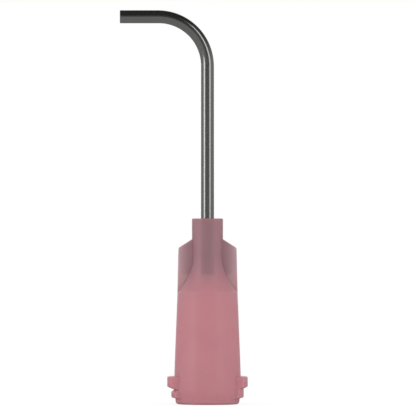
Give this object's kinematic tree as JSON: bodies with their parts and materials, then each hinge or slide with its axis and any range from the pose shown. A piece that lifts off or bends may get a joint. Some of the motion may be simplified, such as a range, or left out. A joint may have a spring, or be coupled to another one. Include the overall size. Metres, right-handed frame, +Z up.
{
  "type": "dispensing needle tip",
  "caption": "Blunt dispensing tip: a translucent moulded hub with a tapered socket, side wings and lock ears, holding a stainless tube bent at a right angle.",
  "frame": {"origin": "centre of the hub's mouth, in the plane of its base ring", "axes": "+Z runs up the hub's axis from the mouth to the neck, the outlet of the bent tube points towards -X, and Y completes a right-handed frame across the bend's plane"},
  "size_m": [0.0124, 0.0066, 0.0381],
  "materials": {
    "hub_plastic": "translucent pink polypropylene with a satin moulded skin",
    "tube_steel": "drawn stainless tube, fine lengthwise grain"
  },
  "bodies": {
    "root": {"hub": "hub_plastic", "cannula": "tube_steel"}
  },
  "joints": []
}
